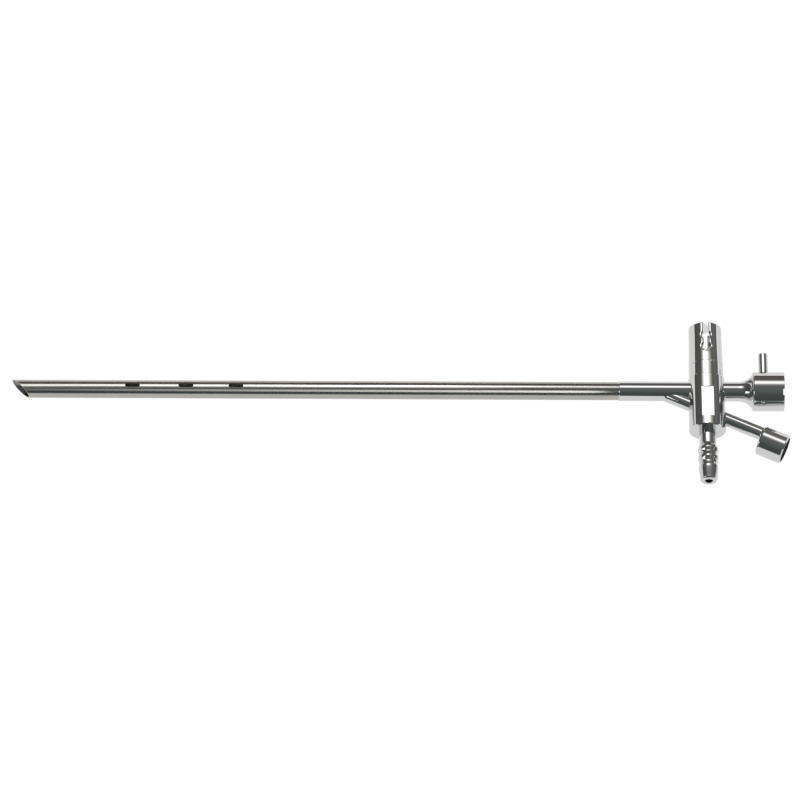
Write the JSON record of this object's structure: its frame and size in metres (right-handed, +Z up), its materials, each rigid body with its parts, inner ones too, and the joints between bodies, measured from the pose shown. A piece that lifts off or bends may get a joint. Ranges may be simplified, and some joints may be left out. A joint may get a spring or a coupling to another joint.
{
  "type": "rigid bronchoscope tube",
  "caption": "Long bevelled steel tube with side slots, a cross port body with keyhole sleeve and hose barb, an open eyepiece socket with stud and a slanted side channel.",
  "frame": {"origin": "on the table, under the middle of the outline as it lies", "axes": "+X along the main tube towards the proximal end, +Y towards the open port, +Z up"},
  "size_m": [0.3418, 0.0754, 0.0176],
  "materials": {
    "main_tube": "fine polish",
    "neck_sleeve": "mirror polish",
    "port_body": "mirror polish",
    "port_sleeve": "mirror polish",
    "lock_pin": "mirror polish",
    "hose_barb": "mirror polish",
    "proximal_neck": "mirror polish",
    "eyepiece_socket": "mirror polish",
    "locating_pin": "mirror polish",
    "side_channel": "mirror polish",
    "side_socket": "mirror polish"
  },
  "bodies": {
    "root": {"main_tube": "main_tube", "neck_sleeve": "neck_sleeve", "port_body": "port_body", "port_sleeve": "port_sleeve", "lock_pin": "lock_pin", "hose_barb": "hose_barb", "proximal_neck": "proximal_neck", "eyepiece_socket": "eyepiece_socket", "locating_pin": "locating_pin", "side_channel": "side_channel", "side_socket": "side_socket"}
  },
  "joints": []
}
